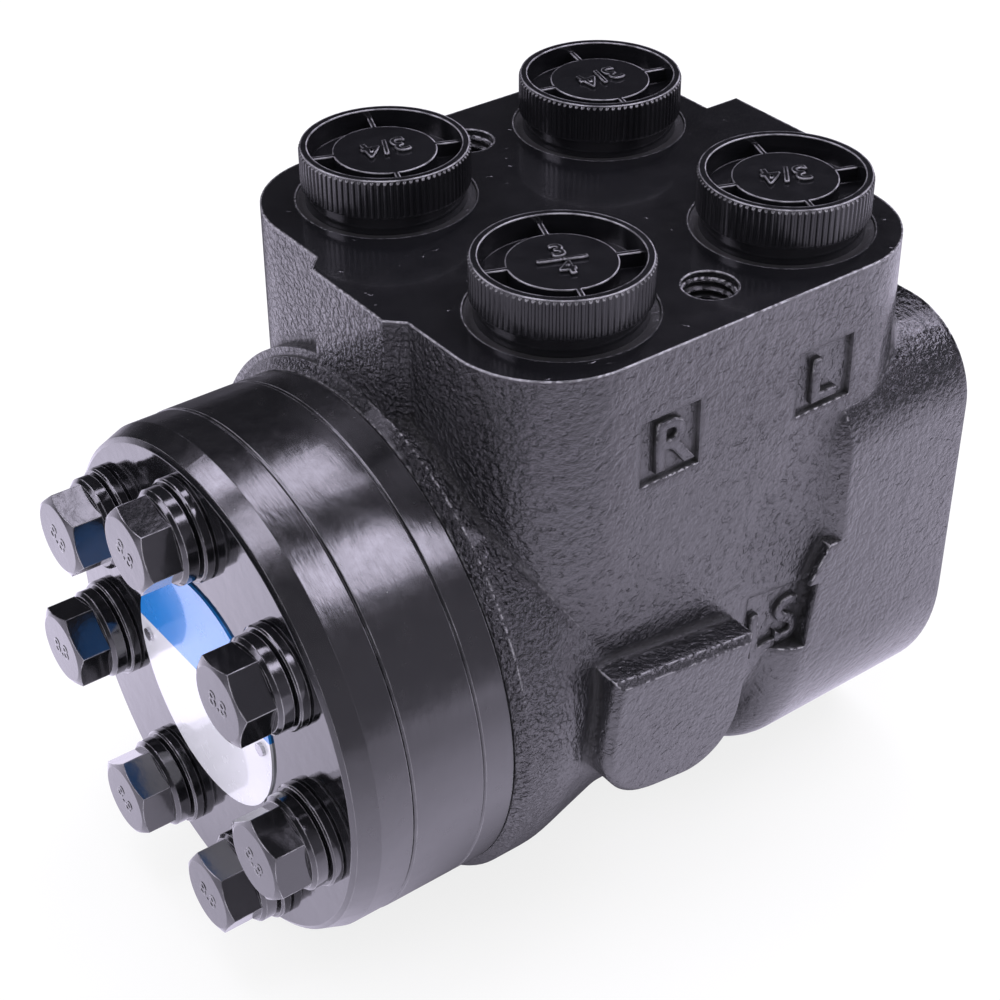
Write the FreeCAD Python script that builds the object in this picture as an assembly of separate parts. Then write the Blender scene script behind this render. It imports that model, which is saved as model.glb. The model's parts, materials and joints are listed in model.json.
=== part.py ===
import FreeCAD, Part
import math
import os
from FreeCAD import Vector as V

os.makedirs("parts", exist_ok=True)

# Hydraulic orbital steering unit with gerotor set, full size, millimetres.
# X runs along the shaft: the column flange face is x = 0 and the end cover is
# at the far negative end. Z points out of the port face, -Y is the marked side.

# Housing
flange_to_plate = 107.5       # column flange face to distributor plate joint
body_r = 52.0                 # round body behind the gear set
body_edge = 1.9               # bevel that brings it down to the plate
body_waist_r = 48.0           # round body after its taper
port_face_z = 70.4            # shaft centre to port face
block_half_y = 47.0           # port block, half width at the port face
block_corner_r = 19.5         # upright corners of the port block
block_gear_x = 4.8            # joint to the block's gear end
block_flange_x = 7.8          # flange face back to the block's flange end
gear_tab_half = 11.0          # middle tab at the gear end, half width
gear_tab_out = 3.0            # and how far it stands out
flange_tab_half = 18.0        # middle tab at the flange end, half width
flange_half_y = 50.4          # flange block, half width
flange_half_z = 49.3          # flange block, half height
flange_thick = 33.5           # flange block along the shaft, upper part
flange_thick_low = 46.5       # flange block along the shaft, lower part
flange_top_r = 17.0           # rounding of its upper corners
flange_low_r = 38.0           # rounding of its lower corners
flange_low_z = 8.0            # its thicker part starts this far below the axis
flange_low_rise = 14.0        # and ends this far above it, sloping
flange_low_round = 9.0
flange_bevel = 3.0            # near edge of its upper part
taper_start = 10.0            # joint to the body's taper
taper_end = 27.0
taper_round = 20.0
shoulder_out = 1.7            # shoulder on the far side of the gear end
mark_depth = 1.0              # recessed pads behind the port marks
mark_right_x = 35.0           # joint to the middle of each mark
mark_left_x = 71.0
mark_sensing_x = 63.0
mark_z = 51.5                 # shaft centre to the two upper marks
mark_wide = 13.2
mark_high = 12.8
boss_out = 55.2               # shaft centre to the blank boss face
boss_start = 17.5             # joint to the boss
boss_len = 33.0
boss_low_z = 19.0
boss_high_z = 9.0
boss_round = 13.0
boss_bevel = 1.2
boss_tilt = 8.0               # boss and its mark lean toward the flange, degrees

# Ports and mounting threads
port_pitch_x = 50.5
port_pitch_y = 52.2
port_first_x = 28.0           # joint to the first row of ports
port_thread_r = 9.525         # 3/4-16 UNF thread, major radius
port_depth = 16.0
spot_face_r = 16.8
spot_face_depth = 0.4
m10_r = 5.0                   # M10 thread, major radius
m10_depth = 18.0
top_thread_y = 35.2           # M10 threads in the port face, off the centre plane
mount_pcd = 82.5              # four M10 threads in the flange face

# Bore and galleries
bore_r = 19.0
gland_r = 16.5
neck_clear = 0.6
dust_bore_r = 16.2
dust_depth = 6.0
gallery_r = 3.6
groove_deep = 3.6
groove_wide = 5.0
groove_right = 31.5           # joint to each bore groove
groove_left = 63.0
groove_pump = 22.5
groove_tank = 78.0
meter_row = 15.0              # joint to the holes that feed the gear set
feed_circle_r = 27.5          # seven passages between bore and gear set
feed_r = 3.2
plate_centre_r = 13.6         # hole in the distributor plate

# Stacked discs
stack_r = 50.0
plate_thick = 6.5
ring_thick = 14.7
cover_thick = 11.5
cover_face_r = 48.2
cover_taper = 4.7
cover_edge_r = 49.85
disc_bevel = 0.35             # turned edges at the joints
bolt_circle_r = 36.4
bolt_count = 7

# Gerotor geometry: seven round lobes in the ring, six teeth on the rotor
orbit_r = 3.2                 # rotor centre off the shaft axis
lobe_r = 7.5
lobe_circle_r = 34.8
tip_gap = 0.06                # rotor to ring lobes
side_gap = 0.03               # rotor to the discs beside it

# Cover bolts, M10 with small heads
bolt_flats = 14.5
bolt_head = 6.6
bolt_thread_in = 16.0         # length in the housing
bolt_hole_gap = 0.3
thread_gap = 0.05
seal_washer_r = 9.7
seal_washer_t = 2.2
lock_washer_r = 8.9
lock_washer_t = 3.5
washer_gap = 0.15

# O-rings in face grooves
oring_mid_r = 45.3
oring_d = 2.4

# Control valve
run_gap = 0.03                # sleeve in bore, spool in sleeve
spool_r = 15.0
spool_bore_r = 9.7
spool_bore_len = 60.0
neck_r = 12.5
neck_end = 3.5                # spool end below the flange face
valve_start = 0.6             # joint to the spool and sleeve ends
gland_back = 24.5             # flange face to the bearing's shoulder
bearing_gap = 0.3             # end play of sleeve and bearing
pin_x = 48.0                  # joint to the cross pin
pin_r = 4.0
deflection = 9.0              # spool against sleeve, each way, degrees
spline_teeth = 12
spline_major_r = 10.3
spline_minor_r = 8.75
spline_len = 21.0
pilot_r = 10.7                # plain mouth before the splines
pilot_len = 3.0
spline_root_half = 1.75       # half width of a tooth or space at its root
spline_tip_half = 0.85
leaf_wide = 8.0
leaf_thick = 0.6
leaf_count = 6
notch_len = 9.4
spring_ring_t = 1.3

# Thrust bearing
race_thick = 1.2
needle_r = 0.98
needle_count = 18

# Cardan drive shaft
shaft_neck_r = 6.4
shaft_fork_r = 8.3
drive_major_r = 11.2
drive_minor_r = 9.4
drive_tip_half = 1.0
drive_gap = 0.45
drive_wide = 8.0
spacer_r = 9.0
spacer_thick = 1.8

# Seals
shaft_seal_wide = 5.0
dust_seal_wide = 4.0

# Plastic port plugs
plug_skirt_r = 15.0
plug_rim_r = 15.5             # foot of the knurled grip
plug_high = 11.0
plug_skirt_high = 3.4
plug_wall = 1.35
plug_recess = 4.2
plug_disc_r = 9.6
plug_disc_drop = 1.4
plug_shank_len = 11.0
plug_shank_wall = 1.8
plug_rib = 0.9

# Name plate
label_r = 23.2
label_thick = 0.5
label_pin_y = 20.0
label_pin_r = 1.3

# Check ball under one cover bolt
ball_r = 4.2
ball_bore_r = 4.5
ball_lift = 1.5               # room for the ball to lift
ball_bolt = 3                 # which bolt hole it sits under
seat_r = 2.6
seat_len = 3.0
stop_pin_r = 1.5
stop_pin_len = 5.0

x_joint = -flange_to_plate
x_plate = x_joint - plate_thick
x_ring = x_plate - ring_thick
x_cover = x_ring - cover_thick
x_block0 = x_joint + block_gear_x
x_block1 = -block_flange_x
port_xs = (x_joint + port_first_x, x_joint + port_first_x + port_pitch_x)
port_mid_x = sum(port_xs) / 2
beyond = 4 * flange_half_y    # reach of cutters past the whole housing


def cyl_x(x0, x1, r, y=0.0, z=0.0):
    return Part.makeCylinder(r, x1 - x0, V(x0, y, z), V(1, 0, 0))


def cyl_z(z0, z1, r, x=0.0, y=0.0):
    return Part.makeCylinder(r, z1 - z0, V(x, y, z0), V(0, 0, 1))


def tube_x(x0, x1, r_out, r_in, y=0.0, z=0.0):
    return cyl_x(x0, x1, r_out, y, z).cut(cyl_x(x0 - 1, x1 + 1, r_in, y, z))


def box(x0, x1, y0, y1, z0, z1):
    return Part.makeBox(x1 - x0, y1 - y0, z1 - z0, V(x0, y0, z0))


def polar(x, r, deg):
    a = math.radians(deg)
    return V(x, r * math.cos(a), r * math.sin(a))


def rod(a, b, r):
    return Part.makeCylinder(r, (b - a).Length, a, b - a)


def prism(points, direction):
    return Part.Face(Part.makePolygon(points + [points[0]])).extrude(direction)


def turned(points):
    """Solid of revolution about the shaft axis from (x, r) corners."""
    outline = [V(x, 0, r) for x, r in points]
    return Part.Face(Part.makePolygon(outline + [outline[0]])).revolve(V(0, 0, 0), V(1, 0, 0), 360)


def round_some(shape, radius, test):
    edges = [e for e in shape.Edges if test(e)]
    return shape.makeFillet(radius, edges) if edges else shape


def bevel_some(shape, size, test):
    edges = [e for e in shape.Edges if test(e)]
    return shape.makeChamfer(size, edges) if edges else shape


def circle_edge(e, r, axis="x", at=None):
    if not isinstance(e.Curve, Part.Circle) or abs(e.Curve.Radius - r) > 1e-4:
        return False
    return at is None or abs(getattr(e.Curve.Center, axis) - at) < 1e-4


def parts_of(shapes):
    return Part.makeCompound(list(shapes))


def fused(shapes):
    shapes = list(shapes)
    return shapes[0].multiFuse(shapes[1:]).removeSplitter() if len(shapes) > 1 else shapes[0]


def save(name, shape):
    shape.exportStep("parts/" + name + ".step")


def bolt_angles():
    return [90 + 360 * k / bolt_count for k in range(bolt_count)]


# Casting


def rounded_section(x0, x1, half_y, half_z, r_top, r_low):
    """Rounded square section, taken along the shaft."""
    corners = [(1, 1, r_top), (-1, 1, r_top), (-1, -1, r_low), (1, -1, r_low)]
    mids = []
    for sy, sz, r in corners:
        cy = sy * (half_y - r)
        cz = sz * (half_z - r)
        k = r * math.sqrt(0.5)
        side = V(x0, sy * half_y, cz)
        end = V(x0, cy, sz * half_z)
        mid = V(x0, cy + sy * k, cz + sz * k)
        mids.append((side, mid, end) if sy == sz else (end, mid, side))
    edges = []
    for i, (a, m, b) in enumerate(mids):
        edges.append(Part.Arc(a, m, b).toShape())
        edges.append(Part.LineSegment(b, mids[(i + 1) % 4][0]).toShape())
    return Part.Face(Part.Wire(edges)).extrude(V(x1 - x0, 0, 0))


def round_body():
    """Body behind the gear set, eased into its narrower waist."""
    x0 = x_joint + taper_start
    x1 = x_joint + taper_end
    end = x_block1 - block_corner_r
    shape = turned([(x_joint, 0), (x_joint, body_r - body_edge), (x_joint + body_edge, body_r),
                    (x0, body_r), (x1, body_waist_r), (end, body_waist_r), (end, 0)])
    return round_some(shape, taper_round, lambda e: circle_edge(e, body_r, "x", x0)
                      or circle_edge(e, body_waist_r, "x", x1))


def port_block():
    """Upright block with casting draft: its sides run out into the waist."""
    section = [V(x_block0, -body_waist_r, 0), V(x_block0, body_waist_r, 0),
               V(x_block0, block_half_y, port_face_z), V(x_block0, -block_half_y, port_face_z)]
    shape = prism(section, V(x_block1 - x_block0, 0, 0))
    shape = round_some(shape, block_corner_r, lambda e: abs(e.tangentAt(e.FirstParameter).z) > 0.9)
    w = gear_tab_half
    x_tab = x_block0 - gear_tab_out
    low = V(0, 0, port_face_z - 30)
    gear_tab = prism([V(x_block0 + 6, -w - 3, 0) + low, V(x_block0, -w - 3, 0) + low,
                      V(x_tab, -w, 0) + low, V(x_tab, w, 0) + low,
                      V(x_block0, w + 3, 0) + low, V(x_block0 + 6, w + 3, 0) + low], V(0, 0, 30))
    flange_tab = box(x_block1 - 15, 0, -flange_tab_half, flange_tab_half, 20, port_face_z)
    return [shape, gear_tab, flange_tab]


def flange_block():
    """Square column flange; its lower half is thicker, with a sloping start."""
    upper = rounded_section(-flange_thick, 0, flange_half_y, flange_half_z, flange_top_r, flange_low_r)
    upper = bevel_some(upper, flange_bevel, lambda e: abs(e.CenterOfMass.x + flange_thick) < 0.01)
    lower = rounded_section(-flange_thick_low, -flange_thick / 6, flange_half_y, flange_half_z,
                            flange_top_r, flange_low_r)
    side = [V(-flange_thick_low, -beyond, -flange_low_z), V(-flange_thick, -beyond, flange_low_rise),
            V(0, -beyond, flange_low_rise), V(0, -beyond, -beyond), V(-flange_thick_low, -beyond, -beyond)]
    lower = lower.common(prism(side, V(0, 2 * beyond, 0)))
    lower = round_some(lower, flange_low_round, lambda e: abs(e.CenterOfMass.x + flange_thick_low) < 0.01
                       and e.CenterOfMass.z < -flange_low_z - 0.5)
    return [upper, lower]


def blank_boss():
    """Blank boss on the marked side, leaning toward the flange."""
    x0 = x_joint + boss_start
    shape = box(x0, x0 + boss_len, -boss_out, -boss_low_z, -boss_low_z, boss_high_z)
    shape = round_some(shape, boss_round, lambda e: abs(e.tangentAt(e.FirstParameter).y) > 0.99
                       and e.CenterOfMass.z < 0)
    shape = bevel_some(shape, boss_bevel, lambda e: abs(e.CenterOfMass.y + boss_out) < 0.01)
    shape.rotate(V(x0 + boss_len / 2, 0, 0), V(0, 1, 0), boss_tilt)
    return shape


def casting():
    x0 = x_joint + 1.3 * body_edge
    shoulder = cyl_x(x0, x_joint + taper_start, body_r + shoulder_out)
    shoulder = shoulder.common(box(x0, x_joint + taper_start, 8, body_r * 2, 15, body_r * 2))
    return fused([round_body(), shoulder, blank_boss()] + port_block() + flange_block())


def mark_pads(shape):
    """Shallow pads behind the raised port marks, sunk square to the leaning wall."""
    lean = math.degrees(math.atan2(body_waist_r - block_half_y, port_face_z))
    floor_y = -body_waist_r + mark_depth
    for x in (mark_right_x, mark_left_x):
        pad = box(x_joint + x - mark_wide / 2, x_joint + x + mark_wide / 2, -beyond, floor_y,
                  mark_z - mark_high / 2, mark_z + mark_high / 2)
        pad.rotate(V(0, -body_waist_r, 0), V(1, 0, 0), -lean)
        shape = shape.cut(pad)
    x = x_joint + mark_sensing_x
    pad = box(x - 0.6 * mark_wide, x + 0.6 * mark_wide, -beyond, floor_y, -mark_high * 0.57, mark_high * 0.57)
    pad.rotate(V(x, 0, 0), V(0, 1, 0), boss_tilt)
    return shape.cut(pad)


# Machined features


def gland_start():
    return -gland_back


def bearing_wide():
    return 2 * race_thick + 2 * needle_r + 0.1


def valve_end():
    """End of spool body and sleeve, just short of the thrust bearing."""
    return gland_start() - bearing_wide() - bearing_gap


def gallery_targets():
    """Port bottom to bore groove, one gallery for each port."""
    grooves = (groove_right, groove_pump, groove_tank, groove_left)
    corners = ((0, -1), (0, 1), (1, 1), (1, -1))
    return [(port_xs[i], side, x_joint + g) for (i, side), g in zip(corners, grooves)]


def machined(shape):
    z_top = port_face_z + 1
    cuts = [cyl_x(x_joint - 1, gland_start(), bore_r),
            cyl_x(gland_start() - 1, gland_start() + shaft_seal_wide + 1.5, gland_r),
            cyl_x(gland_start(), 1, neck_r + neck_clear),
            cyl_x(-dust_depth, 1, dust_bore_r)]
    for x, side, x_groove in gallery_targets():
        y = side * port_pitch_y / 2
        z_end = port_face_z - port_depth
        cuts.append(cyl_z(port_face_z - spot_face_depth, z_top, spot_face_r, x, y))
        cuts.append(cyl_z(z_end, z_top, port_thread_r, x, y))
        cuts.append(rod(V(x, y, z_end + 1), V(x_groove, side * (bore_r + 1.2), 5), gallery_r))
        if x_groove < gland_start() - 20:
            cuts.append(tube_x(x_groove - groove_wide / 2, x_groove + groove_wide / 2,
                               bore_r + groove_deep, bore_r - 1))
        cuts.append(cyl_z(port_face_z - m10_depth, z_top, m10_r, port_mid_x, side * top_thread_y))
    for deg in (45, 135, 225, 315):
        p = polar(-m10_depth, mount_pcd / 2, deg)
        cuts.append(cyl_x(-m10_depth, 1, m10_r, p.y, p.z))
    for k, deg in enumerate(bolt_angles()):
        p = polar(x_joint, bolt_circle_r, deg)
        cuts.append(cyl_x(x_joint - 1, x_joint + bolt_thread_in + 2, m10_r, p.y, p.z))
        a = polar(x_joint, feed_circle_r, deg + 180 / bolt_count)
        b = polar(x_joint + meter_row, bore_r, deg + 180 / bolt_count)
        cuts.append(rod(a + (a - b) * 0.3, b + (b - a) * 0.1, feed_r))
        if k == ball_bolt:
            cuts.append(cyl_x(x_joint + bolt_thread_in, ball_seat_x() + seat_len, ball_bore_r, p.y, p.z))
            cuts.append(rod(V(ball_seat_x() + seat_len - 1, p.y, p.z),
                            polar(ball_seat_x() + seat_len + 6, bore_r - 1, deg), 2.2))
    cuts.append(oring_groove(x_joint, 1))
    return shape.cut(fused_cutters(cuts))


def fused_cutters(cuts):
    return cuts[0].multiFuse(cuts[1:])


def ball_rest_x():
    """Check ball's centre on its seat, clear of the stop pin by the lift."""
    return x_joint + bolt_thread_in + stop_pin_len + ball_lift + ball_r


def ball_seat_x():
    """Start of the seat the check ball rests on."""
    return ball_rest_x() + math.sqrt(ball_r ** 2 - seat_r ** 2)


def oring_groove(x, toward):
    half = 0.66 * oring_d
    a = x - 1 if toward > 0 else x - oring_d
    b = x + oring_d if toward > 0 else x + 1
    return tube_x(a, b, oring_mid_r + half, oring_mid_r - half)


def oring(x, toward):
    ring = Part.makeTorus(oring_mid_r, oring_d / 2, V(x + toward * oring_d / 2, 0, 0), V(1, 0, 0))
    return ring


def bolt_holes(x0, x1):
    r = m10_r + bolt_hole_gap
    return [cyl_x(x0 - 1, x1 + 1, r, polar(0, bolt_circle_r, a).y, polar(0, bolt_circle_r, a).z)
            for a in bolt_angles()]


housing = machined(mark_pads(casting()))
save("housing", housing)

# Distributor plate: one round port for each ring pocket, open centre for the drive shaft
plate = bevel_some(cyl_x(x_plate, x_joint, stack_r), disc_bevel, lambda e: circle_edge(e, stack_r))
plate_cuts = [cyl_x(x_plate - 1, x_joint + 1, plate_centre_r)] + bolt_holes(x_plate, x_joint)
for a in bolt_angles():
    p = polar(0, feed_circle_r, a + 180 / bolt_count)
    plate_cuts.append(cyl_x(x_plate - 1, x_joint + 1, feed_r, p.y, p.z))
plate_cuts.append(oring_groove(x_plate, 1))
plate = plate.cut(fused_cutters(plate_cuts))
save("distributor_plate", plate)

# End cover, with a taper behind its turned face
cover = turned([(x_cover, 0), (x_cover, cover_face_r), (x_cover + cover_taper, cover_edge_r),
                (x_ring, cover_edge_r), (x_ring, 0)])
cover = bevel_some(cover, 2 * disc_bevel, lambda e: circle_edge(e, cover_face_r, "x", x_cover))
cover = bevel_some(cover, disc_bevel, lambda e: circle_edge(e, cover_edge_r, "x", x_ring))
cover = cover.cut(fused_cutters(bolt_holes(x_cover, x_ring) + [oring_groove(x_ring, -1)]))
save("end_cover", cover)


# Gear ring and rotor: the rotor outline is the path of a lobe centre seen from
# the rotor, moved inward by the lobe radius, so it touches all seven lobes.


def ring_profile(x):
    """Closed outline of the ring's inside: seven round lobes joined by root arcs."""
    root_r = lobe_circle_r + orbit_r - lobe_r + orbit_r + 2 * tip_gap
    cos_a = (root_r ** 2 + lobe_circle_r ** 2 - lobe_r ** 2) / (2 * root_r * lobe_circle_r)
    half = math.degrees(math.acos(cos_a))
    step = 360 / bolt_count
    edges = []
    for a in bolt_angles():
        start = polar(x, root_r, a - half)
        end = polar(x, root_r, a + half)
        tip = polar(x, lobe_circle_r - lobe_r, a)
        edges.append(Part.Arc(start, tip, end).toShape())
        mid = polar(x, root_r, a + step / 2)
        edges.append(Part.Arc(end, mid, polar(x, root_r, a + step - half)).toShape())
    return Part.Wire(edges)


def rotor_profile(x):
    """Closed outline of the rotor about its own centre."""
    teeth = bolt_count - 1
    inward = lobe_r + tip_gap
    points = []
    samples = 24 * teeth
    for i in range(samples):
        t = 2 * math.pi * i / samples
        y = lobe_circle_r * math.cos(t) - orbit_r * math.cos(bolt_count * t)
        z = lobe_circle_r * math.sin(t) - orbit_r * math.sin(bolt_count * t)
        dy = -lobe_circle_r * math.sin(t) + bolt_count * orbit_r * math.sin(bolt_count * t)
        dz = lobe_circle_r * math.cos(t) - bolt_count * orbit_r * math.cos(bolt_count * t)
        n = math.hypot(dy, dz)
        py = y - inward * dz / n
        pz = z + inward * dy / n
        points.append(V(x, -pz, py))
    curve = Part.BSplineCurve()
    curve.interpolate(points, PeriodicFlag=True)
    return Part.Wire(curve.toShape())


ring = bevel_some(cyl_x(x_ring, x_plate, stack_r), disc_bevel, lambda e: circle_edge(e, stack_r))
hollow = Part.Face(ring_profile(x_ring - 1)).extrude(V(ring_thick + 2, 0, 0))
ring = ring.cut(hollow).cut(fused_cutters(bolt_holes(x_ring, x_plate) + [oring_groove(x_plate, -1)]))
save("gear_ring", ring)


def spline_cutter(x0, x1, minor_r, major_r, root_half, tip_half, teeth):
    """Internal spline: the minor bore and its tooth spaces."""
    shapes = [cyl_x(x0, x1, minor_r)]
    for i in range(teeth):
        s = prism([V(x0, -root_half, minor_r - 0.6), V(x0, root_half, minor_r - 0.6),
                   V(x0, tip_half, major_r), V(x0, -tip_half, major_r)], V(x1 - x0, 0, 0))
        s.rotate(V(0, 0, 0), V(1, 0, 0), 360 * i / teeth)
        shapes.append(s)
    return fused_cutters(shapes)


rotor = Part.Face(rotor_profile(x_ring + side_gap)).extrude(V(ring_thick - 2 * side_gap, 0, 0))
rotor = rotor.cut(spline_cutter(x_ring - 1, x_plate + 1, drive_minor_r + drive_gap,
                                drive_major_r + drive_gap, spline_root_half + drive_gap,
                                drive_tip_half + drive_gap, spline_teeth))
rotor.translate(V(0, 0, orbit_r))
save("gear_rotor", rotor)

spacer_x = x_ring + side_gap
spacer = cyl_x(spacer_x, spacer_x + spacer_thick, spacer_r, 0, orbit_r)
save("spacer", bevel_some(spacer, 0.4, lambda e: circle_edge(e, spacer_r)))

# Cardan drive shaft, leaning from the cross pin to the rotor centre
x_pin = x_joint + pin_x
x_drive = x_ring + ring_thick / 2
drive_x0 = x_drive - drive_wide / 2
drive_x1 = x_drive + drive_wide / 2
teeth_ring = cyl_x(drive_x0, drive_x1, drive_minor_r - 0.4)
tooth_blocks = [teeth_ring]
for i in range(spline_teeth):
    t = prism([V(drive_x0, -spline_root_half, drive_minor_r - 1),
               V(drive_x0, spline_root_half, drive_minor_r - 1),
               V(drive_x0, drive_tip_half, drive_major_r), V(drive_x0, -drive_tip_half, drive_major_r)],
              V(drive_wide, 0, 0))
    t.rotate(V(0, 0, 0), V(1, 0, 0), 360 * i / spline_teeth)
    tooth_blocks.append(t)
crown = turned([(drive_x0, 0), (drive_x0, drive_major_r - 0.5), (x_drive, drive_major_r),
                (drive_x1, drive_major_r - 0.5), (drive_x1, 0)])
drive_head = fused_cutters(tooth_blocks).common(crown)
fork_x = x_pin + pin_r + 3.5
stem = turned([(drive_x0, 0), (drive_x0, 7.6), (drive_x1 + 1, 7.6), (drive_x1 + 3, shaft_neck_r),
               (x_pin - 16, shaft_neck_r), (x_pin - 12, shaft_fork_r), (fork_x - 1, shaft_fork_r),
               (fork_x, shaft_fork_r - 1), (fork_x, 0)])
tail_x = x_ring + spacer_thick + 0.5
tail = turned([(tail_x, 0), (tail_x, 4), (drive_x0, 7), (drive_x0, 0)])
slot_half = pin_r + 0.12
slot = box(x_pin, fork_x + 1, -slot_half, slot_half, -20, 20)
slot = slot.fuse(Part.makeCylinder(slot_half, 40, V(x_pin - 0.6, 0, -20), V(0, 0, 1)))
slot = slot.fuse(box(x_pin - 0.6, x_pin + 0.1, -slot_half, slot_half, -20, 20))
drive = fused([drive_head, stem, tail]).cut(slot)
lean = math.degrees(math.atan2(orbit_r, x_pin - x_drive))
drive.rotate(V(x_pin, 0, 0), V(0, 1, 0), lean)
save("drive_shaft", drive)

# Spool and sleeve
valve_x0 = x_joint + valve_start
valve_x1 = valve_end()
notch_x0 = valve_x1 - notch_len
spool_x1 = -neck_end
sweep = math.tan(math.radians(deflection + 0.5))
pack_half = leaf_count * leaf_thick / 2


def bow_tie(x0, x1, half, reach, slope):
    top = half + reach * slope
    return prism([V(x0, -reach, -top), V(x0, 0, -half), V(x0, reach, -top),
                  V(x0, reach, top), V(x0, 0, half), V(x0, -reach, top)], V(x1 - x0, 0, 0))


spool = fused([cyl_x(valve_x0, valve_x1, spool_r), cyl_x(valve_x1 - 1, spool_x1, neck_r)])
spool_cuts = [cyl_x(valve_x0 - 1, valve_x0 + spool_bore_len, spool_bore_r),
              spline_cutter(spool_x1 - spline_len, spool_x1 + 1, spline_minor_r, spline_major_r,
                            spline_root_half, spline_tip_half, spline_teeth),
              cyl_x(spool_x1 - pilot_len, spool_x1 + 1, pilot_r),
              bow_tie(notch_x0 + 0.4, valve_x1 - 0.6, pack_half + 0.15, spool_r + 1, sweep)]
pin_swing = pin_r + spool_r * sweep
for side in (1, -1):
    spool_cuts.append(Part.makeCylinder(pin_swing, 10, V(x_pin, 0, side * (spool_r + 1)), V(0, 0, -side)))
for i in range(6):
    for start, length in ((14.0, 20.0), (40.5 + 12, 12.0)):
        g = box(valve_x0 + start, valve_x0 + start + length, -1.4, 1.4, spool_r - 1.2, spool_r + 1)
        g.rotate(V(0, 0, 0), V(1, 0, 0), 30 + 60 * i)
        spool_cuts.append(g)
spool = spool.cut(fused_cutters(spool_cuts))
save("spool", spool)

sleeve_r = bore_r - run_gap
sleeve_step_r = sleeve_r - spring_ring_t - 0.35
sleeve = fused([cyl_x(valve_x0, notch_x0 - 0.5, sleeve_r), cyl_x(notch_x0 - 1, valve_x1, sleeve_step_r)])
sleeve_cuts = [cyl_x(valve_x0 - 1, valve_x1 + 1, spool_r + run_gap),
               box(notch_x0, valve_x1 + 1, -30, 30, -pack_half - 0.1, pack_half + 0.1),
               Part.makeCylinder(pin_r + 0.01, 60, V(x_pin, 0, -30), V(0, 0, 1))]


def hole_row(x, count, r, turn):
    """A row of radial holes round the sleeve."""
    ends = [(polar(x_joint + x, spool_r - 1, turn + 360 * i / count),
             polar(x_joint + x, bore_r + 1, turn + 360 * i / count)) for i in range(count)]
    return [rod(inner, outer, r) for inner, outer in ends]


sleeve_cuts += hole_row(meter_row, 12, 1.6, 15)
sleeve_cuts += hole_row(groove_pump, 6, 2.2, 45)
sleeve_cuts += hole_row(groove_right, 6, 2.2, 15)
sleeve_cuts += hole_row(groove_left, 6, 2.2, 15)
sleeve = sleeve.cut(fused_cutters(sleeve_cuts))
save("sleeve", sleeve)

pin_half = sleeve_r - 0.4
cross_pin = Part.makeCylinder(pin_r, 2 * pin_half, V(x_pin, 0, -pin_half), V(0, 0, 1))
save("cross_pin", bevel_some(cross_pin, 0.4, lambda e: circle_edge(e, pin_r)))

ring_in = sleeve_step_r + 0.05
spring_ring = tube_x(notch_x0 + 0.6, valve_x1 - 0.4, ring_in + spring_ring_t, ring_in)
save("spring_ring", spring_ring)

leaf_half = ring_in - 0.2


def leaf(z0):
    """One flat leaf across the valve."""
    x0 = notch_x0 + 0.7
    return box(x0, x0 + leaf_wide, -leaf_half, leaf_half, z0, z0 + leaf_thick)


save("leaf_springs", parts_of(leaf(-pack_half + leaf_thick * i) for i in range(leaf_count)))

# Thrust bearing between the sleeve end and the housing shoulder
race_in = neck_r + 0.35
race_out = bore_r - 0.35
x_b0 = valve_x1 + 0.05
x_b1 = x_b0 + race_thick
x_b2 = x_b1 + 2 * needle_r + 0.04
race = tube_x(x_b0, x_b1, race_out, race_in)
save("bearing_race_turning", race)
save("bearing_race_fixed", tube_x(gland_start() - race_thick, gland_start(), race_out, race_in))
cage_half = needle_r - 0.35
x_mid_b = (x_b1 + gland_start() - race_thick) / 2
cage = tube_x(x_mid_b - cage_half, x_mid_b + cage_half, race_out - 0.3, race_in + 0.3)
needles = []
windows = []
for i in range(needle_count):
    a = 360 * i / needle_count
    p0 = polar(x_mid_b, race_in + 0.9, a)
    p1 = polar(x_mid_b, race_out - 0.9, a)
    needles.append(rod(p0, p1, needle_r))
    q0 = polar(x_mid_b, race_in + 0.8, a)
    q1 = polar(x_mid_b, race_out - 0.8, a)
    windows.append(rod(q0, q1, needle_r + 0.02))
save("needle_cage", cage.cut(fused_cutters(windows)))
save("needles", parts_of(needles))

# Seals
x_s0 = gland_start() + 0.2
lip_r = neck_r + 0.08
shaft_seal = turned([(x_s0, gland_r), (x_s0, neck_r + 1.6), (x_s0 + 1, neck_r + 1.6), (x_s0 + 2, lip_r),
                     (x_s0 + shaft_seal_wide - 1, lip_r), (x_s0 + shaft_seal_wide, neck_r + 1.2),
                     (x_s0 + shaft_seal_wide, gland_r)])
save("shaft_seal", shaft_seal)
x_d1 = -dust_depth + dust_seal_wide
dust_lip_x = min(x_d1 - 0.6, -neck_end - 0.3)
dust_seal = turned([(-dust_depth, dust_bore_r), (-dust_depth, neck_r + 1.4), (-dust_depth + 0.8, neck_r + 1.4),
                    (-dust_depth + 1.2, lip_r), (dust_lip_x, lip_r), (x_d1, neck_r + 1.4), (x_d1, dust_bore_r)])
save("dust_seal", dust_seal)
save("oring_housing", oring(x_joint, 1))
save("oring_plate", oring(x_plate, 1))
save("oring_ring", oring(x_plate, -1))
save("oring_cover", oring(x_ring, -1))


# Cover bolts and washers


def bolt(length_in):
    """Hexagon bolt along the shaft, head seat at x = 0, shank toward +X."""
    corner = bolt_flats / math.sqrt(3)
    pts = [polar(-bolt_head, corner, 60 * i) for i in range(6)]
    head = prism(pts, V(bolt_head, 0, 0))
    round_off = turned([(-bolt_head, 0), (-bolt_head, bolt_flats / 2 - 0.5),
                        (-bolt_head + 0.5 * (corner - bolt_flats / 2 + 0.7), corner + 0.2),
                        (0, corner + 0.2), (0, 0)])
    head = head.common(round_off)
    shank = cyl_x(-1, length_in, m10_r - thread_gap)
    return head.fuse(shank)


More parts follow.
